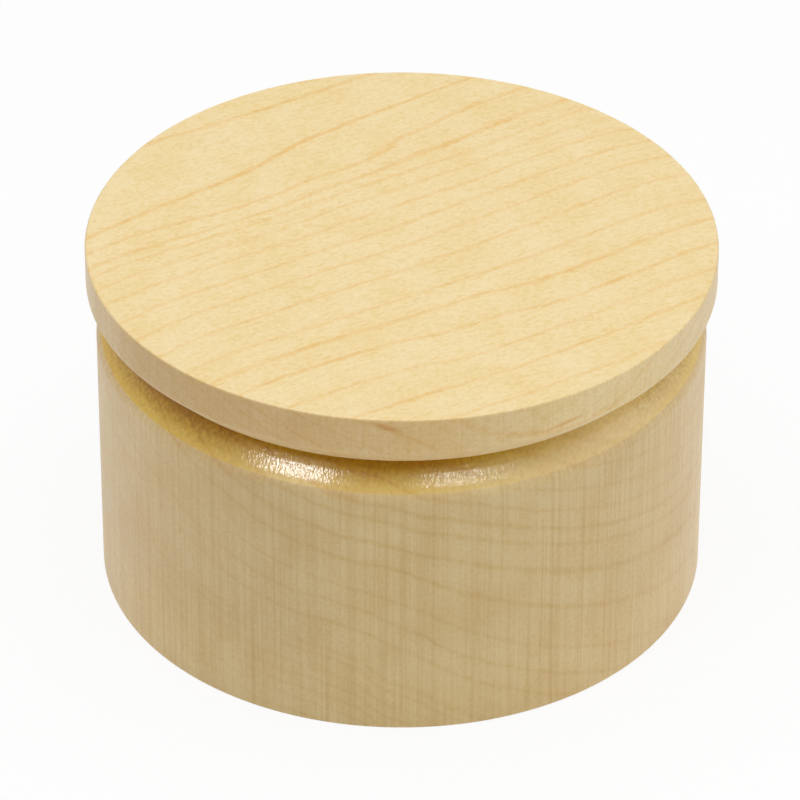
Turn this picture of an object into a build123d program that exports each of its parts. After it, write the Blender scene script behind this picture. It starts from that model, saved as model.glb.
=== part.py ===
from build123d import *
import os

# Turned maple trinket box: a round body bored from one block, and a drop-in lid turned from another.
# Millimetres, +Z up. The origin is the centre of the face that the box stands on.

# Driving dimensions of the body
body_diameter = 61.7
body_height = 31.45
wall_thickness = 5.45
floor_thickness = 6.35

# Turned edges of the body
foot_edge_radius = 0.25
shoulder_bevel_height = 3.45
shoulder_edge_radius = 1.2
seat_width = 2.0
seat_edge_radius = 0.4
mouth_edge_size = 0.3
cavity_corner_radius = 2.0

# Driving dimensions of the lid
lid_overhang = 0.9
lid_thickness = 6.65
lid_top_edge_radius = 0.25
lid_bevel_width = 2.65
lid_bevel_height = 2.65
lid_bevel_edge_radius = 0.5

# The lid's spigot, a plug of the same wood that drops into the mouth of the body
spigot_length = 5.0
spigot_lead_in = 0.6
spigot_clearance = 0.08

# Sizes that follow from the ones above
body_radius = body_diameter / 2
bore_radius = body_radius - wall_thickness
seat_radius = bore_radius + seat_width
shoulder_z = body_height - shoulder_bevel_height
lid_radius = body_radius + lid_overhang
lid_top_z = body_height + lid_thickness
lid_bevel_z = body_height + lid_bevel_height
lid_underside_radius = lid_radius - lid_bevel_width
spigot_radius = bore_radius - spigot_clearance
spigot_z = body_height - spigot_length


def turned_piece(corners):
    """Revolve an outline of (radius, z, corner radius) about the axis; it starts and ends on the axis."""
    points = [(radius, height) for radius, height, _ in corners]
    rounding = [corner_radius for _, _, corner_radius in corners]
    with BuildPart() as piece:
        with BuildSketch(Plane.XZ):
            with BuildLine():
                FilletPolyline(*points, radius=rounding, close=True)
            make_face()
        revolve(axis=Axis.Z)
    return piece.part


def make_box_body():
    """The cup: flat base, straight side, bevelled shoulder, flat seat for the lid, and a bored cavity."""
    return turned_piece([
        (0, 0, 0),
        (body_radius, 0, foot_edge_radius),
        (body_radius, shoulder_z, shoulder_edge_radius),
        (seat_radius, body_height, seat_edge_radius),
        (bore_radius + mouth_edge_size, body_height, 0),
        (bore_radius, body_height - mouth_edge_size, 0),
        (bore_radius, floor_thickness, cavity_corner_radius),
        (0, floor_thickness, 0),
    ])


def make_lid():
    """The lid: a disc that overhangs the body, bevelled underneath as a finger grip, on its spigot."""
    return turned_piece([
        (0, spigot_z, 0),
        (spigot_radius - spigot_lead_in, spigot_z, 0),
        (spigot_radius, spigot_z + spigot_lead_in, 0),
        (spigot_radius, body_height, 0),
        (lid_underside_radius, body_height, lid_bevel_edge_radius),
        (lid_radius, lid_bevel_z, lid_bevel_edge_radius),
        (lid_radius, lid_top_z, lid_top_edge_radius),
        (0, lid_top_z, 0),
    ])


pieces = {
    "box_body": make_box_body(),
    "lid": make_lid(),
}

os.makedirs("parts", exist_ok=True)
for name, piece in pieces.items():
    export_step(piece, f"parts/{name}.step")
    size = piece.bounding_box().size
    print(f"{name}: {size.X:.2f} x {size.Y:.2f} x {size.Z:.2f} mm, {piece.volume:.0f} mm3")
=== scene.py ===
"""A small turned maple trinket box: the bored body, its drop-in lid, and the light tent it stands in.

Everything is in metres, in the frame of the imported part: +Z up, the origin under the middle of the base.
The two pieces are spun from their turned outlines. The wood is a solid pattern, so that the growth rings run
on from the top of a piece over its edges and down its side, as they do in a real block.
"""

import logging
import math
from collections.abc import Mapping, Sequence
from dataclasses import dataclass, field
from enum import Enum

import bmesh
import bpy
from mathutils import Euler, Matrix, Vector

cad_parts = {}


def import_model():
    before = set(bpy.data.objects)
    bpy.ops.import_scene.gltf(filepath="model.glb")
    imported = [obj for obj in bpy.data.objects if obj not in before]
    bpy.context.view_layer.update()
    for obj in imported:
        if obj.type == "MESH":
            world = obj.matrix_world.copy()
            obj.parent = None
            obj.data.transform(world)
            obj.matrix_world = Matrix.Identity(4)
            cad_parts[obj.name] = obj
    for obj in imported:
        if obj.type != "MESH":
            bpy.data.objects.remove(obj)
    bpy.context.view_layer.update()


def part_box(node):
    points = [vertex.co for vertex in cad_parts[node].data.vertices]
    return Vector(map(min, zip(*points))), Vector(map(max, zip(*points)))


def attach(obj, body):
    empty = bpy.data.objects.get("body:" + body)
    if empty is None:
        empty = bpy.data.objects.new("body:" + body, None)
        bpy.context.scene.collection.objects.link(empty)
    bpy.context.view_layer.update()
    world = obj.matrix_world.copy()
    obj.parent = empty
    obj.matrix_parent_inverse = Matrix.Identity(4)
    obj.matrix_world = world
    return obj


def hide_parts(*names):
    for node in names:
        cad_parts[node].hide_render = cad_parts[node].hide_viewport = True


LOG = logging.getLogger("trinket_box")

Tree = bpy.types.NodeTree
Socket = bpy.types.NodeSocket
Points = tuple[tuple[float, float], ...]
Spacing = tuple[float, float, float]

MM = 0.001
MM_PER_METRE = 1000.0

# A Mix node repeats its sockets for numbers, vectors and colours. These are the places of the colour ones.
MIX_SHARE, MIX_UNDER, MIX_OVER, MIX_RESULT = 0, 6, 7, 2

# A noise pattern swings round this value.
PATTERN_MIDDLE = 0.5


def linear_colour(code: str) -> tuple[float, float, float, float]:
    """Turn an sRGB hex code into the linear colour that a shader works in.

    Args:
        code: Six hex digits, with or without a leading #.

    Returns:
        Linear red, green and blue, and an alpha of 1.
    """
    digits = code.lstrip("#")
    channels = [int(digits[i:i + 2], 16) / 255 for i in (0, 2, 4)]
    red, green, blue = (c / 12.92 if c <= 0.04045 else ((c + 0.055) / 1.055) ** 2.4 for c in channels)
    return red, green, blue, 1.0


def add_node(
    tree: Tree,
    kind: str,
    feeds: Mapping[int | str, object] | Sequence[object] = (),
    output: int | str = 0,
    **settings: object,
) -> Socket | None:
    """Add one node to a tree, with its settings and links.

    Args:
        tree: The node tree that gets the node.
        kind: The node's type name.
        feeds: What goes into its inputs, by name or in their order: a socket to link, or a plain value.
            A Map Range takes a value, the span that it is read over, and the span that this becomes.
        output: Which of its outputs to hand back.
        settings: The node's own properties.

    Returns:
        The asked output socket, whose `node` is the new node, or None if the node has no outputs.
    """
    node = tree.nodes.new(kind)
    for name, value in settings.items():
        setattr(node, name, value)
    pairs = feeds.items() if isinstance(feeds, Mapping) else enumerate(feeds)
    for place, value in pairs:
        if isinstance(value, Socket):
            tree.links.new(value, node.inputs[place])
        else:
            node.inputs[place].default_value = value
    return node.outputs[output] if len(node.outputs) else None


class Axis(Enum):
    """The outputs of a Separate XYZ node, by the letter that the node gives them."""

    X = "X"
    Y = "Y"
    Z = "Z"


@dataclass(frozen=True)
class Reading:
    """A curve read between a few points: millimetres in, millimetres (or a plain factor) out."""

    points: Points
    smooth: bool = True

    def wire(self, tree: Tree, value: Socket) -> Socket:
        """Wire the curve behind a value.

        Args:
            tree: The node tree to add to.
            value: What the curve reads.

        Returns:
            The socket that carries the curve's answer.
        """
        low_in, high_in = self.points[0][0], self.points[-1][0]
        low_out = min(y for _, y in self.points)
        high_out = max(y for _, y in self.points)
        share = add_node(tree, "ShaderNodeMapRange", (value, low_in, high_in))
        answer = add_node(tree, "ShaderNodeFloatCurve", {"Value": share})
        mapping = answer.node.mapping
        curve = mapping.curves[0]
        width, height = high_in - low_in, high_out - low_out
        placed = [((x - low_in) / width, (y - low_out) / height) for x, y in self.points]
        curve.points[0].location = placed[0]
        curve.points[1].location = placed[-1]
        for place in placed[1:-1]:
            curve.points.new(*place)
        for point in curve.points:
            point.handle_type = "AUTO_CLAMPED" if self.smooth else "VECTOR"
        mapping.update()
        return add_node(tree, "ShaderNodeMapRange", (answer, 0.0, 1.0, low_out, high_out))


@dataclass(frozen=True)
class Swell:
    """A value that rises and falls in two directions: a smooth curve across times one along.

    It bends the growth rings, darkens stretches of them, lays a finish on thicker in some places, and paints
    shade and light on turned walls and in the groove.
    """

    across: Points
    along: Points

    def wire(self, tree: Tree, across: Socket, along: Socket) -> Socket:
        """Wire the product of the two curves.

        Args:
            tree: The node tree to add to.
            across: Millimetres across the rings, or up or out from the axis on a finish.
            along: Millimetres along the rings, or from left to right on a finish.

        Returns:
            The product.
        """
        factors = (Reading(self.across).wire(tree, across), Reading(self.along).wire(tree, along))
        return add_node(tree, "ShaderNodeMath", factors, operation="MULTIPLY")


@dataclass(frozen=True)
class RingLine:
    """The thin dark line that ends one year's growth: where it lies, in millimetres, and how dark it is."""

    at: float
    darkness: float


def ring_lines(*lines: tuple[float, float]) -> tuple[RingLine, ...]:
    """Give a block's ring lines, each from where it lies and how dark it is."""
    return tuple(RingLine(at, darkness) for at, darkness in lines)


@dataclass(frozen=True)
class GrainSockets:
    """What a block of wood offers to a finish: places in millimetres, and patterns from 0 to 1.

    `peel` is the orange peel in the lacquer.
    """

    place_mm: Socket
    side_mm: Socket
    height_mm: Socket
    radius_mm: Socket
    line: Socket
    halo: Socket
    end_grain: Socket
    flecks: Socket
    streaks: Socket
    fine_streaks: Socket
    mottle: Socket
    cloud: Socket
    peel: Socket


@dataclass(frozen=True)
class Timber:
    """The block of maple that a piece was turned from: how its rings and fibres lie, in millimetres.

    The block stands `turn` degrees round Z. The rings are counted across it: `rise` bends them along their
    length, `lean` shifts them with depth, and each of the `bends` shifts the count that the ones before it
    left. Each of the `ripples` is how far it swings them, and its spacing. `heavy` makes stretches of them
    darker or lighter, and the `break_` fields make them uneven. A line is `line_width` to either side of its
    middle, and `line_growth` more at full strength, with a soft halo `halo_reach` times as wide.

    Real pores, fibres and tool marks are under 0.1 mm, too fine to show, so the flecks, the mottle and the
    streaks are drawn as coarse as they need to show.
    """

    turn: float
    along: Axis
    across: Axis
    depth: Axis
    depth_level: float
    fibres: Axis
    rings: tuple[RingLine, ...]
    rise: Reading
    lean: Reading
    bends: tuple[Swell, ...]
    heavy: tuple[Swell, ...]
    fleck_spacing: Spacing
    seed: float
    ripples: Points = ((0.4, 2.6), (0.2, 0.65))
    line_width: float = 0.26
    line_growth: float = 0.34
    halo_reach: float = 3.4
    break_spacing: Spacing = (2.4, 5.0, 2.4)
    break_pattern: tuple[float, float] = (0.3, 0.7)
    break_strength: tuple[float, float] = (0.6, 1.4)
    wall_radius: float = 31.0
    streak_spacing: float = 0.55
    fine_streak_spacing: float = 0.22
    streak_length: float = 22.0
    mottle_spacing: float = 0.42
    cloud_spacing: float = 6.0
    peel_spacing: Spacing = (0.24, 0.5, 0.5)

    def wire(self, tree: Tree) -> GrainSockets:
        """Wire the block's pattern.

        Args:
            tree: The node tree to add to.

        Returns:
            The sockets that a finish paints with.
        """
        local = add_node(tree, "ShaderNodeTexCoord", output="Object")
        facing = local.node.outputs["Normal"]
        plain = add_node(tree, "ShaderNodeMapping", {"Vector": local, "Scale": (MM_PER_METRE,) * 3})
        turn = (0, 0, -math.radians(self.turn))
        turned = add_node(tree, "ShaderNodeMapping", {"Vector": plain, "Rotation": turn})
        parts = add_node(tree, "ShaderNodeSeparateXYZ", (turned,)).node.outputs
        level = add_node(tree, "ShaderNodeVectorMath", (plain, (1, 1, 0)), operation="MULTIPLY")
        ways = (facing, self._fibre_direction())
        cut = add_node(tree, "ShaderNodeVectorMath", ways, output="Value", operation="DOT_PRODUCT")
        count = self._ring_count(tree, turned, parts)
        line, halo = self._late_wood(tree, count, parts[self.along.value], turned)
        wall = self._wall_place(tree, plain, level)
        wide, fine, long = self.streak_spacing, self.fine_streak_spacing, self.streak_length
        return GrainSockets(
            place_mm=plain,
            side_mm=add_node(tree, "ShaderNodeSeparateXYZ", (plain,), output=Axis.X.value),
            height_mm=parts[Axis.Z.value],
            radius_mm=add_node(tree, "ShaderNodeVectorMath", (level,), output="Value", operation="LENGTH"),
            line=line,
            halo=halo,
            end_grain=add_node(tree, "ShaderNodeMath", (cut, cut), operation="MULTIPLY"),
            flecks=self._noise(tree, turned, self.fleck_spacing, detail=2.0),
            streaks=self._noise(tree, wall, (wide, wide, long), detail=3.0),
            fine_streaks=self._noise(tree, wall, (fine, fine, long / 2), detail=2.0),
            mottle=self._noise(tree, plain, (self.mottle_spacing,) * 3, detail=3.0),
            cloud=self._noise(tree, turned, (self.cloud_spacing,) * 3, detail=2.0),
            peel=self._noise(tree, plain, self.peel_spacing, detail=1.5),
        )

    def _fibre_direction(self) -> tuple[float, float, float]:
        """Give the direction of the fibres in the piece, from their axis in the turned block."""
        own = Vector([float(axis is self.fibres) for axis in Axis])
        return tuple(Matrix.Rotation(math.radians(self.turn), 3, "Z") @ own)

    def _noise(self, tree: Tree, place: Socket, spacing: Spacing, detail: float) -> Socket:
        """Wire a cloudy pattern with its own spacing along each axis.

        Args:
            tree: The node tree to add to.
            place: Where the pattern is read, in millimetres.
            spacing: Millimetres from one patch to the next, along X, Y and Z.
            detail: How many finer layers it has.

        Returns:
            The pattern, round PATTERN_MIDDLE.
        """
        feeds = {"Vector": place, "Scale": tuple(1 / size for size in spacing), "Location": (self.seed,) * 3}
        scaled = add_node(tree, "ShaderNodeMapping", feeds)
        return add_node(tree, "ShaderNodeTexNoise", {"Vector": scaled, "Scale": 1.0, "Detail": detail})

    def _wall_place(self, tree: Tree, plain: Socket, level: Socket) -> Socket:
        """Wire the place that the turning marks are read at: the nearest on a plain upright wall.

        Args:
            tree: The node tree to add to.
            plain: The place in the piece, in millimetres.
            level: The same place at height 0.

        Returns:
            The place on the wall, in millimetres.
        """
        around = add_node(tree, "ShaderNodeVectorMath", (level,), operation="NORMALIZE")
        feeds = {0: around, "Scale": self.wall_radius}
        around = add_node(tree, "ShaderNodeVectorMath", feeds, operation="SCALE")
        upright = add_node(tree, "ShaderNodeVectorMath", (plain, (0, 0, 1)), operation="MULTIPLY")
        return add_node(tree, "ShaderNodeVectorMath", (around, upright), operation="ADD")

    def _ring_count(self, tree: Tree, turned: Socket, parts: Mapping[str, Socket]) -> Socket:
        """Wire the distance across the rings, in millimetres, with every bend taken out.

        Args:
            tree: The node tree to add to.
            turned: The place in the block's own directions.
            parts: The same place, split into its axes.

        Returns:
            Millimetres across the rings, as if they were flat and square to the block.
        """
        across, along = parts[self.across.value], parts[self.along.value]
        depth = (parts[self.depth.value], self.depth_level)
        below = add_node(tree, "ShaderNodeMath", depth, operation="SUBTRACT")
        total = add_node(tree, "ShaderNodeMath", (across, self.rise.wire(tree, along)), operation="ADD")
        leaning = (self.lean.wire(tree, across), below, total)
        total = add_node(tree, "ShaderNodeMath", leaning, operation="MULTIPLY_ADD")
        for bend in self.bends:
            shift = bend.wire(tree, total, along)
            total = add_node(tree, "ShaderNodeMath", (total, shift), operation="ADD")
        for swing, spacing in self.ripples:
            ripple = self._noise(tree, turned, (spacing,) * 3, detail=1.0)
            centred = add_node(tree, "ShaderNodeMath", (ripple, PATTERN_MIDDLE), operation="SUBTRACT")
            total = add_node(tree, "ShaderNodeMath", (centred, swing, total), operation="MULTIPLY_ADD")
        return total

    def _late_wood(self, tree: Tree, count: Socket, along: Socket, turned: Socket) -> tuple[Socket, Socket]:
        """Wire the dark line that ends each year's growth, and the soft shade round it.

        Args:
            tree: The node tree to add to.
            count: Millimetres across the straightened rings.
            along: Millimetres along them.
            turned: The place in the block's own directions.

        Returns:
            The line, and the shade round it, both from 0 to 1.
        """
        numbers = Reading(tuple((ring.at, float(i)) for i, ring in enumerate(self.rings)), smooth=False)
        number = numbers.wire(tree, count)
        share = add_node(tree, "ShaderNodeMath", (number,), operation="FRACT")
        rest = add_node(tree, "ShaderNodeMath", (1.0, share), operation="SUBTRACT")
        nearest = add_node(tree, "ShaderNodeMath", (share, rest), operation="MINIMUM")
        pairs = zip(self.rings, self.rings[1:])
        gaps = Reading(tuple(((ring.at + later.at) / 2, later.at - ring.at) for ring, later in pairs))
        away = add_node(tree, "ShaderNodeMath", (nearest, gaps.wire(tree, count)), operation="MULTIPLY")
        strength = Reading(tuple((ring.at, ring.darkness) for ring in self.rings)).wire(tree, count)
        for stretch in self.heavy:
            more = stretch.wire(tree, count, along)
            strength = add_node(tree, "ShaderNodeMath", (strength, more), operation="ADD")
        widths = (strength, self.line_growth, self.line_width)
        width = add_node(tree, "ShaderNodeMath", widths, operation="MULTIPLY_ADD")
        uneven = self._noise(tree, turned, self.break_spacing, detail=3.0)
        shown = add_node(tree, "ShaderNodeMapRange", (uneven, *self.break_pattern, *self.break_strength))
        strength = add_node(tree, "ShaderNodeMath", (strength, shown), operation="MULTIPLY")
        near = add_node(tree, "ShaderNodeMath", (away, width), operation="DIVIDE")
        shades = []
        for reach in (1.0, self.halo_reach):
            shade = add_node(tree, "ShaderNodeMapRange", (near, reach, 0.0), interpolation_type="SMOOTHSTEP")
            shades.append(add_node(tree, "ShaderNodeMath", (shade, strength), operation="MULTIPLY"))
        return shades[0], shades[1]


@dataclass(frozen=True)
class Tint:
    """A colour multiplied into the wood, for stains and for painted shade and light: the colour that it
    turns white to, and how a pattern gives its share.
    """

    code: str
    strength: float
    start: float = 0.0
    full: float = 1.0

    def over(self, tree: Tree, under: Socket, pattern: Socket, mask: Socket | None = None) -> Socket:
        """Stain a colour.

        Args:
            tree: The node tree to add to.
            under: The colour below.
            pattern: The pattern that is read from `start` to `full`.
            mask: Where the stain may show at all, from 0 to 1; everywhere if it is left out.

        Returns:
            The stained colour.
        """
        share = add_node(tree, "ShaderNodeMapRange", (pattern, self.start, self.full, 0.0, self.strength))
        if mask is not None:
            share = add_node(tree, "ShaderNodeMath", (share, mask), operation="MULTIPLY")
        feeds = {MIX_SHARE: share, MIX_UNDER: under, MIX_OVER: linear_colour(self.code)}
        return add_node(tree, "ShaderNodeMix", feeds, MIX_RESULT, data_type="RGBA", blend_type="MULTIPLY")


@dataclass(frozen=True)
class Fleck:
    """A small brown fleck of gum in a turned wall. Its azimuth and lean are in degrees, the rest in mm.

    `reach` is half its length round the wall, half its depth, and half its width. `core` is the share of its
    reach that has the full colour.
    """

    azimuth: float
    radius: float
    height: float
    reach: tuple[float, float, float]
    lean: float
    tint: Tint
    core: float = 0.3

    def over(self, tree: Tree, under: Socket, place: Socket) -> Socket:
        """Paint the fleck over a colour.

        Args:
            tree: The node tree to add to.
            under: The colour below.
            place: The place in the piece, in millimetres.

        Returns:
            The colour with the fleck in it.
        """
        turn = math.radians(self.azimuth)
        middle = (self.radius * math.sin(turn), -self.radius * math.cos(turn), self.height)
        facing = Matrix.Rotation(math.radians(self.lean), 3, "Y") @ Matrix.Rotation(-turn, 3, "Z")
        away = add_node(tree, "ShaderNodeVectorMath", (place, middle), operation="SUBTRACT")
        turned = add_node(tree, "ShaderNodeMapping", {"Vector": away, "Rotation": tuple(facing.to_euler())})
        shares = add_node(tree, "ShaderNodeVectorMath", (turned, self.reach), operation="DIVIDE")
        far = add_node(tree, "ShaderNodeVectorMath", (shares,), output="Value", operation="LENGTH")
        near = add_node(tree, "ShaderNodeMapRange", (far, 1.0, self.core))
        return self.tint.over(tree, under, near)


@dataclass(frozen=True)
class Zone:
    """A part of a turned piece, by radius and height in millimetres, with soft limits."""

    inner: float = -1.0
    outer: float = 100.0
    low: float = -1.0
    high: float = 100.0
    softness: float = 0.08

    def wire(self, tree: Tree, grain: GrainSockets) -> Socket:
        """Wire the zone's mask.

        Args:
            tree: The node tree to add to.
            grain: The block's pattern, for its radius and height.

        Returns:
            1 inside the zone and 0 outside.
        """
        limits = (
            (grain.radius_mm, self.inner, self.softness),
            (grain.radius_mm, self.outer, -self.softness),
            (grain.height_mm, self.low, self.softness),
            (grain.height_mm, self.high, -self.softness),
        )
        mask = 1.0
        for value, limit, inward in limits:
            span = (value, limit - inward, limit + inward)
            edge = add_node(tree, "ShaderNodeMapRange", span, interpolation_type="SMOOTHSTEP")
            mask = add_node(tree, "ShaderNodeMath", (mask, edge), operation="MULTIPLY")
        return mask


@dataclass(frozen=True)
class TurnedMaple:
    """Hard maple, turned and sanded fine outside, with clear gloss lacquer where the sanding did not reach.

    The eye gets a pale cream that deepens to orange along the growth rings, darker end grain, short flecks
    along the fibres, fine upright marks round the side, and a soft sheen with no mirror in it. The turned
    walls are greyed by a share that is partly their own tone and partly painted light, which changes round
    the piece and leaves the walls lighter towards their lower edge. `ring_fade` is how much of the rings end
    grain hides. The lacquered zone is amber, deeper where the lacquer lies thicker and where it soaks into
    the rings; its deepening next to the lid is also painted shade. The groove under the lid is darkened with
    painted shade. The zone is shiny by `gloss`: there its coat shows the lamps, broken up by its orange
    peel.
    """

    name: str
    timber: Timber
    wood: str
    ring_tint: Tint
    halo_tint: Tint
    end_tint: Tint
    fleck_tint: Tint
    mottle_tint: Tint
    cloud_tint: Tint
    streak_tint: Tint
    fine_streak_tint: Tint
    wall_tint: Tint
    # Partly the walls' own tone, partly painted light: lighter towards their lower edge, changing round the
    # piece.
    wall_tone_and_light: Swell
    walls: Zone
    lacquered: Zone
    # How thick the lacquer lies, and painted shade: the amber is deepest next to the lid.
    coats_and_shade: Swell
    gloss: Swell
    # Painted shade in the groove under the lid: where it darkens the lacquer, its colour, and how grainy it
    # is.
    groove_painted_shade: Swell | None = None
    groove_shade_tint: Tint = Tint("#DDD8D6", 1.0)
    groove_shade_contrast: float = 3.2
    amber: str = "#F6EBA3"
    coat_contrast: float = 1.2
    soak_tint: Tint = Tint("#F8DCAE", 0.7, 0.5, 0.95)
    flecks: tuple[Fleck, ...] = ()
    ring_fade: float = 0.0
    roughness: tuple[float, float] = (0.42, 0.52)
    rough_pattern: tuple[float, float] = (0.35, 0.7)
    ior: float = 1.4
    sheen: float = 0.12
    sheen_roughness: float = 0.5
    coat_roughness: float = 0.15
    coat_ior: float = 1.5
    grain_relief: float = 0.003 * MM
    streak_relief: float = 0.003 * MM
    coat_relief: float = 0.042 * MM

    def build(self) -> bpy.types.Material:
        """Make the material.

        Returns:
            The finished material.
        """
        material = bpy.data.materials.new(self.name)
        material.use_nodes = True
        tree = material.node_tree
        tree.nodes.clear()
        grain = self.timber.wire(tree)
        walls = self.walls.wire(tree, grain)
        lacquered = self.lacquered.wire(tree, grain)
        colour = self._wood_colour(tree, grain, walls)
        colour = self._lacquer_over(tree, grain, colour, lacquered)
        shader = self._surface(tree, grain, colour, walls, lacquered)
        add_node(tree, "ShaderNodeOutputMaterial", {"Surface": shader})
        return material

    def _wood_colour(self, tree: Tree, grain: GrainSockets, walls: Socket) -> Socket:
        """Wire the bare wood's colour, with painted light on the turned walls.

        Args:
            tree: The node tree to add to.
            grain: The block's pattern.
            walls: The mask of the turned walls.

        Returns:
            The colour socket.
        """
        colour = add_node(tree, "ShaderNodeRGB")
        colour.default_value = linear_colour(self.wood)
        colour = self.end_tint.over(tree, colour, grain.end_grain)
        colour = self.cloud_tint.over(tree, colour, grain.cloud)
        colour = self.mottle_tint.over(tree, colour, grain.mottle)
        colour = self.fleck_tint.over(tree, colour, grain.flecks)
        # Painted light: the walls' greying changes round the piece and with height, lighter towards their
        # lower edge.
        wall_tone_and_light = self.wall_tone_and_light.wire(tree, grain.height_mm, grain.side_mm)
        colour = self.wall_tint.over(tree, colour, walls, wall_tone_and_light)
        colour = self.streak_tint.over(tree, colour, grain.streaks, walls)
        colour = self.fine_streak_tint.over(tree, colour, grain.fine_streaks, walls)
        fading = (grain.end_grain, -self.ring_fade, 1.0)
        shown = add_node(tree, "ShaderNodeMath", fading, operation="MULTIPLY_ADD")
        colour = self.halo_tint.over(tree, colour, grain.halo, shown)
        colour = self.ring_tint.over(tree, colour, grain.line, shown)
        for fleck in self.flecks:
            colour = fleck.over(tree, colour, grain.place_mm)
        return colour

    def _lacquer_over(self, tree: Tree, grain: GrainSockets, under: Socket, lacquered: Socket) -> Socket:
        """Wire what the lacquer does to the wood's colour, and the painted shade in the groove under the
        lid.

        Args:
            tree: The node tree to add to.
            grain: The block's pattern.
            under: The bare wood's colour.
            lacquered: The mask of the lacquer.

        Returns:
            The colour socket.
        """
        colour = self.soak_tint.over(tree, under, grain.line, lacquered)
        # Painted shade: the groove is darkened where the lid shades it.
        if self.groove_painted_shade is not None:
            groove_painted_shade = self.groove_painted_shade.wire(tree, grain.radius_mm, grain.side_mm)
            contrast = (grain.mottle, self.groove_shade_contrast, 1 - self.groove_shade_contrast * PATTERN_MIDDLE)
            grainy = add_node(tree, "ShaderNodeMath", contrast, operation="MULTIPLY_ADD")
            groove_painted_shade = add_node(tree, "ShaderNodeMath", (groove_painted_shade, grainy), operation="MULTIPLY")
            colour = self.groove_shade_tint.over(tree, colour, groove_painted_shade, lacquered)
        contrast = (grain.peel, self.coat_contrast, 1 - self.coat_contrast * PATTERN_MIDDLE)
        uneven = add_node(tree, "ShaderNodeMath", contrast, operation="MULTIPLY_ADD")
        # The amber deepens with the lacquer's thickness and next to the lid, where this also paints the
        # groove's shade.
        coats_and_shade = self.coats_and_shade.wire(tree, grain.radius_mm, grain.side_mm)
        depth = add_node(tree, "ShaderNodeMath", (coats_and_shade, uneven), operation="MULTIPLY")
        depth = add_node(tree, "ShaderNodeMath", (depth, lacquered), operation="MULTIPLY")
        amber = add_node(tree, "ShaderNodeGamma", {"Color": linear_colour(self.amber), "Gamma": depth})
        feeds = {MIX_SHARE: 1.0, MIX_UNDER: colour, MIX_OVER: amber}
        return add_node(tree, "ShaderNodeMix", feeds, MIX_RESULT, data_type="RGBA", blend_type="MULTIPLY")

    def _surface(
        self, tree: Tree, grain: GrainSockets, colour: Socket, walls: Socket, lacquered: Socket
    ) -> Socket:
        """Wire the surface: its relief, its sheen and its coat.

        Args:
            tree: The node tree to add to.
            grain: The block's pattern.
            colour: The finished colour.
            walls: The mask of the turned walls.
            lacquered: The mask of the lacquer.

        Returns:
            The shader socket.
        """
        relief = {"Height": grain.flecks, "Distance": self.grain_relief, "Strength": 1.0}
        normal = add_node(tree, "ShaderNodeBump", relief)
        marks = add_node(tree, "ShaderNodeMath", (grain.fine_streaks, walls), operation="MULTIPLY")
        relief = {"Height": marks, "Distance": self.streak_relief, "Strength": 1.0, "Normal": normal}
        normal = add_node(tree, "ShaderNodeBump", relief)
        relief = {"Height": grain.peel, "Distance": self.coat_relief, "Strength": 1.0}
        coat = add_node(tree, "ShaderNodeBump", relief)
        rough = add_node(tree, "ShaderNodeMapRange", (grain.mottle, *self.rough_pattern, *self.roughness))
        fading = (lacquered, -self.sheen, self.sheen)
        fuzz = add_node(tree, "ShaderNodeMath", fading, operation="MULTIPLY_ADD")
        gloss = self.gloss.wire(tree, grain.radius_mm, grain.side_mm)
        gloss = add_node(tree, "ShaderNodeMath", (gloss, lacquered), operation="MULTIPLY")
        feeds = {
            "Base Color": colour,
            "Roughness": rough,
            "IOR": self.ior,
            "Normal": normal,
            "Sheen Weight": fuzz,
            "Sheen Roughness": self.sheen_roughness,
            "Coat Weight": gloss,
            "Coat Roughness": self.coat_roughness,
            "Coat IOR": self.coat_ior,
            "Coat Normal": coat,
        }
        return add_node(tree, "ShaderNodeBsdfPrincipled", feeds)


@dataclass(frozen=True)
class Corner:
    """A corner of a turned outline: its distance from the axis, its height, and its rounding, in metres."""

    radius: float
    height: float
    rounding: float = 0.0


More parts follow.
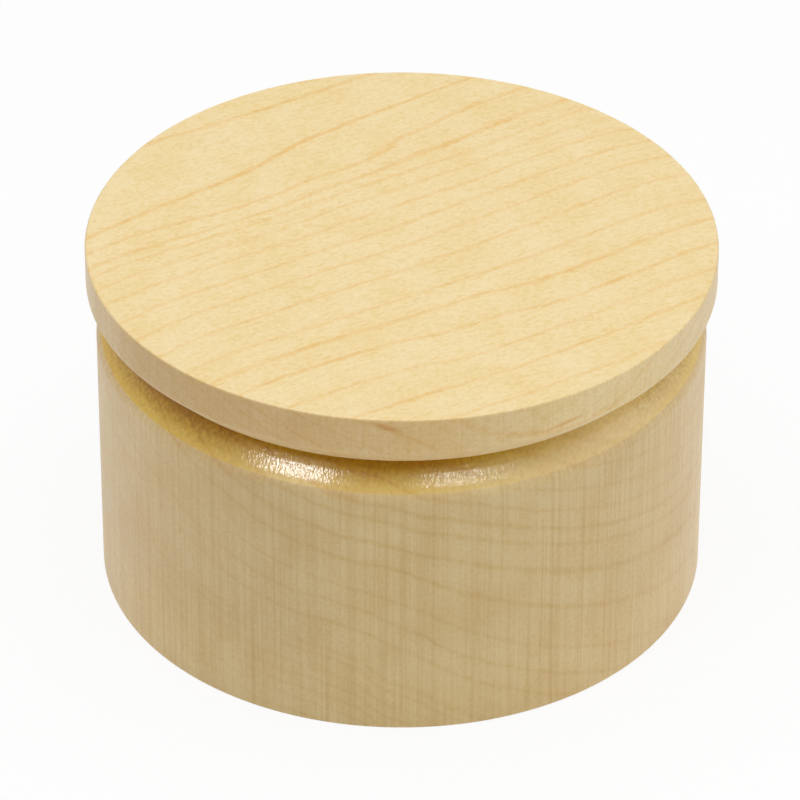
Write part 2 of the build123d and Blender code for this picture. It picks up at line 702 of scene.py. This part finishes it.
@dataclass
class TurnedPiece:
    """A piece of turned wood, spun from its outline about Z.

    A run of the outline that is longer than `short_run` is cut at a `guard` from both its ends, so that a
    rounding's shading stays on it, and into steps of at most `longest_step` between. Its edges are shaded
    sharp where they turn by more than `sharp_angle` degrees.
    """

    name: str
    node: str
    body: str
    slot: str
    finish: TurnedMaple
    facets: int = 288
    corner_steps: int = 6
    short_run: float = 0.4 * MM
    guard: float = 0.1 * MM
    longest_step: float = 2.5 * MM
    sharp_angle: float = 25.0
    weld: float = 0.001 * MM

    def outline(self) -> list[Corner]:
        """Give the outline's corners, from the axis out, round and back to the axis."""
        raise NotImplementedError

    def build(self) -> bpy.types.Object:
        """Spin the outline into a closed mesh and make its object.

        Returns:
            The new object, at the origin, not yet dressed.
        """
        shape = bmesh.new()
        self._lay_outline(shape)
        self._share_out(shape)
        bmesh.ops.spin(
            shape,
            geom=shape.verts[:] + shape.edges[:],
            axis=(0, 0, 1),
            angle=2 * math.pi,
            steps=self.facets,
            use_merge=True,
        )
        bmesh.ops.remove_doubles(shape, verts=shape.verts[:], dist=self.weld)
        self._put_in_order(shape)
        bmesh.ops.recalc_face_normals(shape, faces=shape.faces[:])
        for face in shape.faces:
            face.smooth = True
        for edge in shape.edges:
            edge.smooth = edge.calc_face_angle(0) < math.radians(self.sharp_angle)
        mesh = bpy.data.meshes.new(self.name)
        shape.to_mesh(mesh)
        shape.free()
        piece = bpy.data.objects.new(self.name, mesh)
        bpy.context.scene.collection.objects.link(piece)
        return piece

    def dress(self, piece: bpy.types.Object) -> bpy.types.Object:
        """Give the piece its finish, and tie it to the frame.

        Args:
            piece: The object from `build`.

        Returns:
            The same object.
        """
        piece.data.materials.append(self.finish.build())
        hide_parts(self.node)
        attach(piece, self.body)
        return piece

    def _lay_outline(self, shape: bmesh.types.BMesh) -> None:
        """Lay the outline down as a chain of edges and round its corners.

        Args:
            shape: The mesh that gets the chain.
        """
        corners = self.outline()
        points = [shape.verts.new((corner.radius, 0, corner.height)) for corner in corners]
        for first, second in zip(points, points[1:]):
            shape.edges.new((first, second))
        for i, corner in enumerate(corners):
            if corner.rounding:
                before = self._direction(corners, i, i - 1)
                after = self._direction(corners, i, i + 1)
                reach = corner.rounding / math.tan(before.angle(after) / 2)
                bmesh.ops.bevel(
                    shape,
                    geom=[points[i]],
                    offset=reach,
                    offset_type="OFFSET",
                    segments=self.corner_steps,
                    profile=0.5,
                    affect="VERTICES",
                    material=-1,
                )

    @staticmethod
    def _put_in_order(shape: bmesh.types.BMesh) -> None:
        """Sort the edges and faces by their corners, as a spin leaves them in another order each run.

        Args:
            shape: The spun mesh.
        """
        shape.verts.index_update()
        count = len(shape.verts)
        for parts in (shape.edges, shape.faces):
            marks = {part: [corner.index for corner in part.verts] for part in parts}
            parts.sort(key=lambda part: sum(marks[part]) * count + max(marks[part]))
            parts.index_update()

    @staticmethod
    def _direction(corners: Sequence[Corner], start: int, end: int) -> Vector:
        """Give the direction from one corner of the outline to another."""
        first, second = corners[start], corners[end]
        return Vector((second.radius - first.radius, 0, second.height - first.height))

    def _share_out(self, shape: bmesh.types.BMesh) -> None:
        """Cut the outline's long runs.

        Args:
            shape: The mesh that holds the outline.
        """
        for edge in list(shape.edges):
            if edge.calc_length() < self.short_run:
                continue
            for corner in edge.verts[:]:
                _, added = bmesh.utils.edge_split(edge, corner, self.guard / edge.calc_length())
                edge = max(added.link_edges, key=lambda part: part.calc_length())
            cuts = int(edge.calc_length() / self.longest_step)
            if cuts:
                bmesh.ops.subdivide_edges(shape, edges=[edge], cuts=cuts)


@dataclass
class BoxBody(TurnedPiece):
    """The body: a straight-sided cup with a bevelled shoulder under the lid."""

    wall: float = 5.45 * MM
    floor: float = 6.35 * MM
    seat: float = 2.0 * MM
    bevel_height: float = 3.45 * MM
    foot_rounding: float = 0.25 * MM
    shoulder_rounding: float = 1.2 * MM
    seat_rounding: float = 0.4 * MM
    mouth_easing: float = 0.3 * MM
    cavity_rounding: float = 2.0 * MM

    def outline(self) -> list[Corner]:
        """Give the cup's outline.

        Returns:
            The corners of its base, side, shoulder, seat, mouth, cavity wall and floor.
        """
        _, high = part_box(self.node)
        outer, top = high.x, high.z
        bore = outer - self.wall
        return [
            Corner(0, 0),
            Corner(outer, 0, self.foot_rounding),
            Corner(outer, top - self.bevel_height, self.shoulder_rounding),
            Corner(bore + self.seat, top, self.seat_rounding),
            Corner(bore + self.mouth_easing, top),
            Corner(bore, top - self.mouth_easing),
            Corner(bore, self.floor, self.cavity_rounding),
            Corner(0, self.floor),
        ]


@dataclass
class BoxLid(TurnedPiece):
    """The lid: a disc bevelled under its rim, on the spigot that drops into the mouth."""

    thickness: float = 6.65 * MM
    bevel_width: float = 2.65 * MM
    bevel_height: float = 2.65 * MM
    bevel_rounding: float = 0.5 * MM
    top_rounding: float = 0.25 * MM
    spigot_radius: float = 25.32 * MM
    spigot_lead_in: float = 0.6 * MM

    def outline(self) -> list[Corner]:
        """Give the lid's outline.

        Returns:
            The corners of its spigot, underside, bevel, rim and top.
        """
        low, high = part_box(self.node)
        outer, bottom, top = high.x, low.z, high.z
        underside = top - self.thickness
        return [
            Corner(0, bottom),
            Corner(self.spigot_radius - self.spigot_lead_in, bottom),
            Corner(self.spigot_radius, bottom + self.spigot_lead_in),
            Corner(self.spigot_radius, underside),
            Corner(outer - self.bevel_width, underside, self.bevel_rounding),
            Corner(outer, underside + self.bevel_height, self.bevel_rounding),
            Corner(outer, top, self.top_rounding),
            Corner(0, top),
        ]


@dataclass(frozen=True)
class SoftBox:
    """A rectangular lamp behind white cloth, aimed at the box. Angles are in degrees, sizes in metres.

    One that is `gloss_only` is a strip that shows in reflections and adds no other light.
    """

    name: str
    azimuth: float
    elevation: float
    distance: float
    width: float
    height: float
    watts: float
    gloss_only: bool = False

    def build(self, aim: Vector) -> bpy.types.Object:
        """Hang the lamp.

        Args:
            aim: The point that it is turned to.

        Returns:
            The lamp's object.
        """
        lamp = bpy.data.lights.new(self.name, "AREA")
        lamp.shape = "RECTANGLE"
        lamp.size = self.width
        lamp.size_y = self.height
        lamp.energy = self.watts
        turn, lift = math.radians(self.azimuth), math.radians(self.elevation)
        away = Vector((math.sin(turn) * math.cos(lift), -math.cos(turn) * math.cos(lift), math.sin(lift)))
        holder = bpy.data.objects.new(self.name, lamp)
        holder.location = aim + away * self.distance
        holder.rotation_euler = away.to_track_quat("Z", "Y").to_euler()
        holder.visible_diffuse = not self.gloss_only
        bpy.context.scene.collection.objects.link(holder)
        return holder


@dataclass
class LightTent:
    """The studio: a white table, a white surround and soft lamps."""

    table_radius: float = 3.0
    table_facets: int = 96
    table_white: str = "#F4F4F4"
    table_roughness: float = 0.9
    table_glow: float = 0.88
    surround_strength: float = 0.086
    aim: Vector = field(default_factory=lambda: Vector((0, 0, 20 * MM)))
    lamps: tuple[SoftBox, ...] = (
        SoftBox("lamp_top", 0, 89, 0.9, 1.0, 1.0, 6.75),
        SoftBox("lamp_back", 180, 55, 0.9, 0.9, 0.6, 0.27),
        SoftBox("lamp_left", -110, 20, 0.8, 0.7, 0.6, 0.82),
        SoftBox("lamp_right", 95, 20, 0.8, 0.7, 0.6, 1.62),
        SoftBox("lamp_front", 0, 8, 0.9, 0.8, 0.4, 0.68),
        SoftBox("lamp_front_left", -45, 51, 0.8, 0.26, 0.26, 0.75),
        SoftBox("lamp_front_right", 26, 53, 0.8, 0.5, 0.5, 0.57),
        SoftBox("strip_left", -45.5, 49, 0.8, 0.17, 0.11, 1.25, gloss_only=True),
        SoftBox("strip_right", 24.5, 50, 0.8, 0.15, 0.045, 0.44, gloss_only=True),
    )

    def build(self) -> None:
        """Set up the table, the surround and the lamps."""
        self._table()
        self._surround()
        for lamp in self.lamps:
            lamp.build(self.aim)
            LOG.info("%s: %.2f W", lamp.name, lamp.watts)

    def _table(self) -> None:
        """Lay the table top: white card that keeps the box's shadow."""
        shape = bmesh.new()
        bmesh.ops.create_circle(shape, cap_ends=True, radius=self.table_radius, segments=self.table_facets)
        mesh = bpy.data.meshes.new("table_top")
        shape.to_mesh(mesh)
        shape.free()
        table = bpy.data.objects.new("table_top", mesh)
        bpy.context.scene.collection.objects.link(table)
        table.data.materials.append(self._white_card())

    def _white_card(self) -> bpy.types.Material:
        """Make the table's white: part of it is plain white to the camera, the rest takes light and shadow.

        Returns:
            The table's material.
        """
        material = bpy.data.materials.new("matt_white_card")
        material.use_nodes = True
        tree = material.node_tree
        tree.nodes.clear()
        feeds = {"Base Color": linear_colour(self.table_white), "Roughness": self.table_roughness}
        card = add_node(tree, "ShaderNodeBsdfPrincipled", feeds)
        glow = add_node(tree, "ShaderNodeEmission", {"Strength": 1.0})
        factors = (self._looked_at(tree), self.table_glow)
        share = add_node(tree, "ShaderNodeMath", factors, operation="MULTIPLY")
        surface = add_node(tree, "ShaderNodeMixShader", (share, card, glow))
        add_node(tree, "ShaderNodeOutputMaterial", {"Surface": surface})
        return material

    def _surround(self) -> None:
        """Light the surround: plain white to the camera and in reflections, dimmer as a lamp."""
        world = bpy.data.worlds.new("white_surround")
        bpy.context.scene.world = world
        world.use_nodes = True
        tree = world.node_tree
        tree.nodes.clear()
        levels = (self._looked_at(tree), 0.0, 1.0, self.surround_strength, 1.0)
        strength = add_node(tree, "ShaderNodeMapRange", levels)
        light = add_node(tree, "ShaderNodeBackground", {"Color": (1, 1, 1, 1), "Strength": strength})
        add_node(tree, "ShaderNodeOutputWorld", {"Surface": light})

    @staticmethod
    def _looked_at(tree: Tree) -> Socket:
        """Wire where the background is looked at, and not just a source of light.

        Args:
            tree: The node tree to add to.

        Returns:
            1 to the camera, in a reflection and through glass, and 0 otherwise.
        """
        paths = add_node(tree, "ShaderNodeLightPath").node.outputs
        rays = (paths["Is Camera Ray"], paths["Is Glossy Ray"])
        seen = add_node(tree, "ShaderNodeMath", rays, operation="MAXIMUM")
        return add_node(tree, "ShaderNodeMath", (seen, paths["Is Transmission Ray"]), operation="MAXIMUM")


@dataclass(frozen=True)
class PhotoCamera:
    """The camera that took the photograph: a long lens, looking down on the front of the box."""

    distance: float = 0.5896
    elevation: float = 34.95
    roll: float = 0.17
    lens: float = 259.8
    sensor: float = 36.0
    nearest: float = 0.01
    farthest: float = 20.0
    aim: tuple[float, float, float] = (-0.13 * MM, 0.0, 18.34 * MM)

    def build(self) -> bpy.types.Object:
        """Set the camera up and make it the scene's own.

        Returns:
            The camera's object.
        """
        data = bpy.data.cameras.new("photo_camera")
        data.lens = self.lens
        data.sensor_width = self.sensor
        data.clip_start = self.nearest
        data.clip_end = self.farthest
        holder = bpy.data.objects.new("photo_camera", data)
        bpy.context.scene.collection.objects.link(holder)
        lift = math.radians(self.elevation)
        back = Vector((0, -math.cos(lift), math.sin(lift)))
        facing = Euler((math.pi / 2 - lift, 0, 0)).to_matrix()
        rolled = facing @ Matrix.Rotation(math.radians(self.roll), 3, "Z")
        holder.matrix_world = Matrix.Translation(Vector(self.aim) + back * self.distance) @ rolled.to_4x4()
        bpy.context.scene.camera = holder
        return holder


# The lid's block: nearly flat-sawn. Its lines run about 28 degrees off the front, wide apart at the back.
LID_TIMBER = Timber(
    turn=28.0,
    along=Axis.X,
    across=Axis.Y,
    depth=Axis.Z,
    depth_level=38.1,
    fibres=Axis.X,
    rings=ring_lines(
        (-37.0, 0.5), (-33.0, 0.5), (-29.5, 0.5), (-25.1, 0.6), (-21.5, 0.45), (-16.6, 0.45), (-12.5, 0.5),
        (-9.4, 0.5), (-5.0, 0.55), (-1.2, 0.5), (2.1, 0.5), (5.4, 0.5), (8.1, 0.4), (10.3, 0.45),
        (11.8, 0.5), (14.0, 0.45), (20.8, 0.7), (28.3, 0.75), (33.0, 0.5), (37.0, 0.5), (41.0, 0.5),
        (45.5, 0.5), (50.0, 0.5),
    ),
    rise=Reading((
        (-32.0, 2.6), (-30.0, 2.2), (-25.0, 1.1), (-20.0, 0.7), (0.0, 0.0),
        (10.0, -0.8), (20.0, -2.0), (25.0, -2.35), (32.0, -1.4),
    )),
    lean=Reading(((-31.0, -0.6), (-22.0, -2.0), (31.0, -2.0))),
    bends=(
        Swell(
            ((12.0, 0.0), (13.9, 0.0), (16.3, 1.0), (21.5, 1.0), (28.3, 0.0), (30.0, 0.0)),
            (
                (-32.0, 5.0), (-25.0, 4.4), (-17.0, 3.4), (-10.0, 2.6), (-7.0, 1.95), (-5.0, 1.3),
                (-3.0, 0.8), (0.0, 0.0), (10.0, -0.65), (32.0, -0.6),
            ),
        ),
        Swell(
            ((9.0, 0.0), (10.3, 0.05), (11.4, 0.65), (13.2, 1.0), (15.0, 1.0), (17.5, 0.0)),
            (
                (-32.0, 0.0), (-21.0, 0.2), (-17.0, 0.6), (-12.0, 0.8), (-8.0, 0.7), (0.0, 0.0), (32.0, 0.0),
            ),
        ),
        Swell(
            (
                (9.0, 0.0), (10.3, 0.05), (11.6, 0.47), (12.95, 0.5), (15.0, 0.95), (16.5, 1.0), (21.0, 0.0),
            ),
            ((-32.0, 0.0), (0.0, 0.0), (5.0, -0.5), (10.0, -1.5), (20.0, -2.2), (32.0, -2.4)),
        ),
        Swell(
            ((-6.0, 0.0), (2.1, 0.3), (5.4, 0.7), (8.1, 1.0), (10.3, 1.0), (13.0, 0.4), (16.0, 0.0)),
            (
                (-32.0, -0.2), (-25.0, 0.35), (-18.0, 0.65), (-12.0, 0.6), (-6.0, 0.3), (0.0, 0.0),
                (8.0, 0.1), (13.0, 0.4), (20.0, 0.3), (32.0, 0.0),
            ),
        ),
        Swell(
            (
                (-29.0, 0.0), (-25.0, 0.2), (-21.0, 1.4), (-19.5, 1.4), (-16.5, 1.1),
                (-15.0, 1.1), (-13.5, 0.2), (-12.0, 0.2), (-10.0, 0.0),
            ),
            ((-32.0, -0.6), (-20.0, -1.0), (-15.0, -1.0), (-8.0, -0.6), (0.0, 0.0), (32.0, 0.0)),
        ),
        Swell(
            (
                (-23.0, 0.0), (-21.2, 0.05), (-19.0, 1.0), (-17.9, 1.05), (-13.6, 1.0),
                (-12.9, 0.95), (-10.2, 0.25), (-9.2, 0.22), (-5.0, 0.0),
            ),
            (
                (-32.0, 0.0), (0.0, 0.0), (3.0, 0.25), (6.0, 0.8), (11.0, 1.25),
                (16.0, 1.35), (22.0, 1.2), (32.0, 0.6),
            ),
        ),
        Swell(
            ((-9.0, 0.0), (-5.0, 0.8), (-1.2, 1.0), (2.1, 1.0), (5.0, 0.0)),
            (
                (-32.0, 0.2), (-20.0, 0.25), (-8.0, 0.0), (0.0, 0.0), (10.0, -0.3),
                (20.0, -0.2), (32.0, -0.7),
            ),
        ),
    ),
    heavy=(
        Swell(
            ((18.0, 0.0), (20.3, 0.4), (21.3, 0.4), (23.5, 0.0)),
            (
                (-32.0, 0.3), (-12.0, 0.3), (-7.0, 1.0), (0.0, 1.0), (4.0, 0.4), (17.0, 0.3), (32.0, 0.1),
            ),
        ),
        Swell(
            ((10.9, 0.0), (11.6, 0.5), (14.4, 0.5), (15.5, 0.0)),
            ((-32.0, 0.2), (-8.0, 0.2), (0.0, 0.15), (8.0, 0.6), (20.0, 0.5), (32.0, 0.4)),
        ),
        Swell(
            ((-18.0, 0.0), (-17.2, 0.5), (-12.0, 0.5), (-11.0, 0.0)),
            (
                (-32.0, 0.4), (-20.0, 0.5), (-5.0, 0.4), (0.0, 0.1), (9.0, 0.5), (20.0, 0.5), (32.0, 0.2),
            ),
        ),
    ),
    fleck_spacing=(1.1, 0.24, 0.24),
    seed=3.7,
)

# The body's block: its fibres run from front to back, so the front shows end grain. Its rings fall to the
# right.
BODY_TIMBER = Timber(
    turn=0.0,
    along=Axis.X,
    across=Axis.Z,
    depth=Axis.Y,
    depth_level=-30.85,
    fibres=Axis.Y,
    rings=ring_lines(
        (-15.0, 0.4), (-13.0, 0.4), (-10.8, 0.4), (-8.5, 0.4), (-6.3, 0.5), (-3.8, 0.55), (-2.0, 0.45),
        (-0.5, 0.5), (1.0, 0.5), (2.5, 0.45), (4.3, 0.5), (5.3, 0.45), (10.0, 0.65), (12.6, 0.7),
        (15.5, 0.6), (19.5, 0.8), (22.2, 0.9), (25.0, 0.75), (26.8, 0.8), (28.9, 0.65), (31.4, 0.65),
        (33.9, 0.6), (35.7, 0.5), (38.0, 0.5), (40.5, 0.5), (43.0, 0.5), (46.0, 0.5),
    ),
    rise=Reading(((-31.0, -9.3), (0.0, 0.0), (31.0, 13.6)), smooth=False),
    lean=Reading(((0.0, 0.02), (32.0, -0.03))),
    bends=(
        Swell(
            ((2.0, 0.0), (7.0, 0.3), (12.0, 1.0), (20.0, 1.0), (26.0, 0.6)),
            ((-31.0, -4.2), (-24.0, -2.3), (-21.0, -1.3), (-18.0, -0.5), (-14.0, 0.0), (31.0, 0.0)),
        ),
        Swell(
            ((5.0, 0.0), (7.0, 0.3), (10.0, 1.0), (13.0, 1.0), (16.0, 0.3), (20.0, 0.0)),
            (
                (-31.0, 0.0), (-12.0, 0.0), (-9.0, -0.25), (-5.0, -0.8), (-2.0, -0.45),
                (0.0, 0.0), (31.0, 0.0),
            ),
        ),
        Swell(
            ((-12.0, 1.0), (6.0, 1.0), (9.0, 0.0), (12.0, 0.0)),
            (
                (-31.0, -1.6), (-24.0, -1.25), (-16.0, -0.8), (-12.0, -1.1), (-6.0, -1.7),
                (-3.0, -0.8), (0.0, 0.0), (31.0, 0.0),
            ),
        ),
        Swell(
            ((12.0, 0.0), (15.5, 0.5), (19.0, 1.0), (30.0, 1.0)),
            ((-31.0, -0.4), (-16.0, 0.0), (-12.0, 0.65), (-6.0, 0.6), (0.0, 0.0), (31.0, 0.0)),
        ),
        Swell(
            (
                (5.0, 1.0), (10.0, 1.0), (12.6, 0.95), (15.5, 0.65),
                (19.5, 0.2), (22.2, -0.4), (25.0, -0.75), (30.0, -0.9),
            ),
            (
                (-31.0, 0.0), (0.0, 0.0), (4.0, 0.8), (8.0, 1.4), (14.0, 1.8), (24.0, 2.2), (31.0, 2.5),
            ),
        ),
    ),
    heavy=(
        Swell(
            ((21.4, 0.0), (21.9, 0.3), (22.6, 0.3), (23.2, 0.0)),
            ((-31.0, 0.0), (14.4, 0.0), (15.4, 1.0), (16.6, 1.0), (17.6, 0.0), (31.0, 0.0)),
        ),
        Swell(
            ((-15.0, 0.9), (46.0, 1.0)),
            ((-31.0, -0.35), (-18.0, -0.25), (-8.0, -0.1), (0.0, 0.0), (12.0, -0.12), (31.0, -0.3)),
        ),
    ),
    fleck_spacing=(0.24, 2.0, 0.24),
    seed=11.3,
    line_growth=0.28,
    break_spacing=(0.9, 8.0, 9.0),
    streak_length=45.0,
)

# Lacquer laid on nearly evenly, out from the axis and from left to right.
EVEN_COAT = Swell(((0.0, 0.9), (32.0, 1.0)), ((-32.0, 0.9), (32.0, 1.0)))

LID_FINISH = TurnedMaple(
    name="maple_face_grain_sanded",
    timber=LID_TIMBER,
    wood="#F2DCAC",
    ring_tint=Tint("#FAEACE", 1.0),
    halo_tint=Tint("#FCF4E4", 0.22),
    end_tint=Tint("#EDE7E4", 1.0),
    fleck_tint=Tint("#F8F0D5", 0.75, 0.48, 0.72),
    mottle_tint=Tint("#F8F3DC", 0.7, 0.42, 0.68),
    cloud_tint=Tint("#FAF4DD", 0.5, 0.40, 0.66),
    streak_tint=Tint("#EFE4D0", 0.23, 0.46, 0.68),
    fine_streak_tint=Tint("#EFE4D0", 0.20, 0.42, 0.66),
    wall_tint=Tint("#EDE3D4", 1.0),
    # Painted light: the rim is greyed less near its lower edge, at the far left and on the right.
    wall_tone_and_light=Swell(
        ((33.8, 0.7), (34.3, 0.85), (34.9, 1.0), (38.1, 1.0)),
        (
            (-32.0, 0.0), (-29.0, 0.2), (-27.0, 0.65), (-20.0, 1.0), (-11.0, 1.0),
            (0.0, 0.85), (12.0, 0.45), (20.0, 0.0), (32.0, 0.1),
        ),
    ),
    walls=Zone(inner=28.0, high=38.04, softness=0.03),
    lacquered=Zone(low=20.0, high=31.6),
    coats_and_shade=EVEN_COAT,
    gloss=EVEN_COAT,
    flecks=(
        Fleck(-2.4, 31.75, 37.25, (1.9, 2.0, 0.38), -17.5, Tint("#F2D6B8", 1.0)),
        Fleck(30.0, 31.75, 34.95, (2.9, 2.0, 0.3), 7.0, Tint("#F6DCB6", 0.8)),
    ),
    ring_fade=0.5,
    sheen=0.2,
)

BODY_FINISH = TurnedMaple(
    name="maple_end_grain_sanded",
    timber=BODY_TIMBER,
    wood="#F6DFAA",
    ring_tint=Tint("#F8F0E3", 1.0),
    halo_tint=Tint("#FAF4EA", 0.2),
    end_tint=Tint("#F1F2EC", 1.0),
    fleck_tint=Tint("#F0DFC4", 0.3, 0.48, 0.72),
    mottle_tint=Tint("#F2E4CC", 0.3, 0.42, 0.68),
    cloud_tint=Tint("#F4E6CE", 0.4, 0.40, 0.66),
    streak_tint=Tint("#E6D2B2", 0.26, 0.46, 0.68),
    fine_streak_tint=Tint("#E6D4B6", 0.27, 0.44, 0.66),
    wall_tint=Tint("#E7E3E4", 1.0),
    # Painted light: the wall is greyed less near its foot and across the front, more on the left.
    wall_tone_and_light=Swell(
        ((0.0, 0.6), (6.0, 0.76), (14.0, 1.0), (26.0, 1.0), (28.5, 0.9)),
        (
            (-31.0, 0.85), (-26.0, 0.86), (-17.0, 0.97), (-8.0, 0.75),
            (0.0, 0.56), (15.0, 0.59), (26.0, 0.72), (31.0, 0.65),
        ),
    ),
    walls=Zone(inner=30.42, low=0.1, high=31.4),
    lacquered=Zone(outer=30.42, low=1.0),
    # Lacquer thickness, and painted shade: the amber is deepest next to the lid, where the groove is shaded.
    coats_and_shade=Swell(
        (
            (24.0, 0.8), (26.8, 0.9), (27.3, 3.0), (27.5, 3.6), (28.35, 3.3),
            (28.8, 2.5), (29.2, 1.7), (29.65, 1.15), (30.05, 0.8), (30.45, 0.65),
        ),
        (
            (-31.0, 1.8), (-27.0, 1.7), (-21.0, 1.4), (-15.0, 1.1), (-10.0, 1.05), (-2.5, 1.25),
            (5.0, 0.9), (10.0, 0.4), (20.0, 0.14), (25.7, 0.42), (31.0, 0.8),
        ),
    ),
    gloss=Swell(
        (
            (24.0, 0.8), (26.8, 0.8), (27.4, 0.12), (27.9, 0.2), (28.35, 0.2), (28.65, 0.28),
            (28.82, 0.1), (29.0, 0.7), (29.25, 1.0), (29.7, 1.0), (30.0, 0.4), (30.2, 0.12), (30.4, 0.1),
        ),
        (
            (-31.0, 0.15), (-22.0, 0.15), (-16.5, 0.35), (-14.5, 0.9), (-12.5, 1.0), (-8.5, 1.0),
            (-6.3, 0.5), (-3.0, 0.25), (0.0, 0.35), (2.5, 0.9), (4.0, 1.0), (9.0, 1.0), (12.0, 0.6),
            (31.0, 0.35),
        ),
    ),
    # Painted shade: the groove is darkened under the lid, most at its left and right ends.
    groove_painted_shade=Swell(
        (
            (26.5, 0.0), (27.3, 0.8), (27.5, 1.0), (28.35, 1.0), (28.75, 0.85),
            (29.1, 0.7), (29.5, 0.5), (29.95, 0.22), (30.45, 0.04),
        ),
        (
            (-31.0, 1.4), (-27.0, 1.2), (-21.0, 1.2), (-15.0, 0.5), (-8.0, 0.35), (0.0, 0.4),
            (10.0, 0.35), (15.0, 0.15), (20.0, 0.15), (26.0, 0.8), (31.0, 1.0),
        ),
    ),
)


def main() -> None:
    """Load the frame, build and dress the pieces, and set the studio up."""
    logging.basicConfig(level=logging.INFO, format="%(name)s: %(message)s")
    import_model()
    bpy.context.scene.view_settings.view_transform = "Standard"
    PhotoCamera().build()
    pieces = (
        BoxBody(name="turned_body", node="box_body", body="body", slot="body_maple", finish=BODY_FINISH),
        BoxLid(name="turned_lid", node="lid", body="lid", slot="lid_maple", finish=LID_FINISH),
    )
    for maker in pieces:
        piece = maker.dress(maker.build())
        LOG.info("%s: %d faces, rides on %s", piece.name, len(piece.data.polygons), maker.body)
    LightTent().build()


if __name__ == "__main__":
    main()
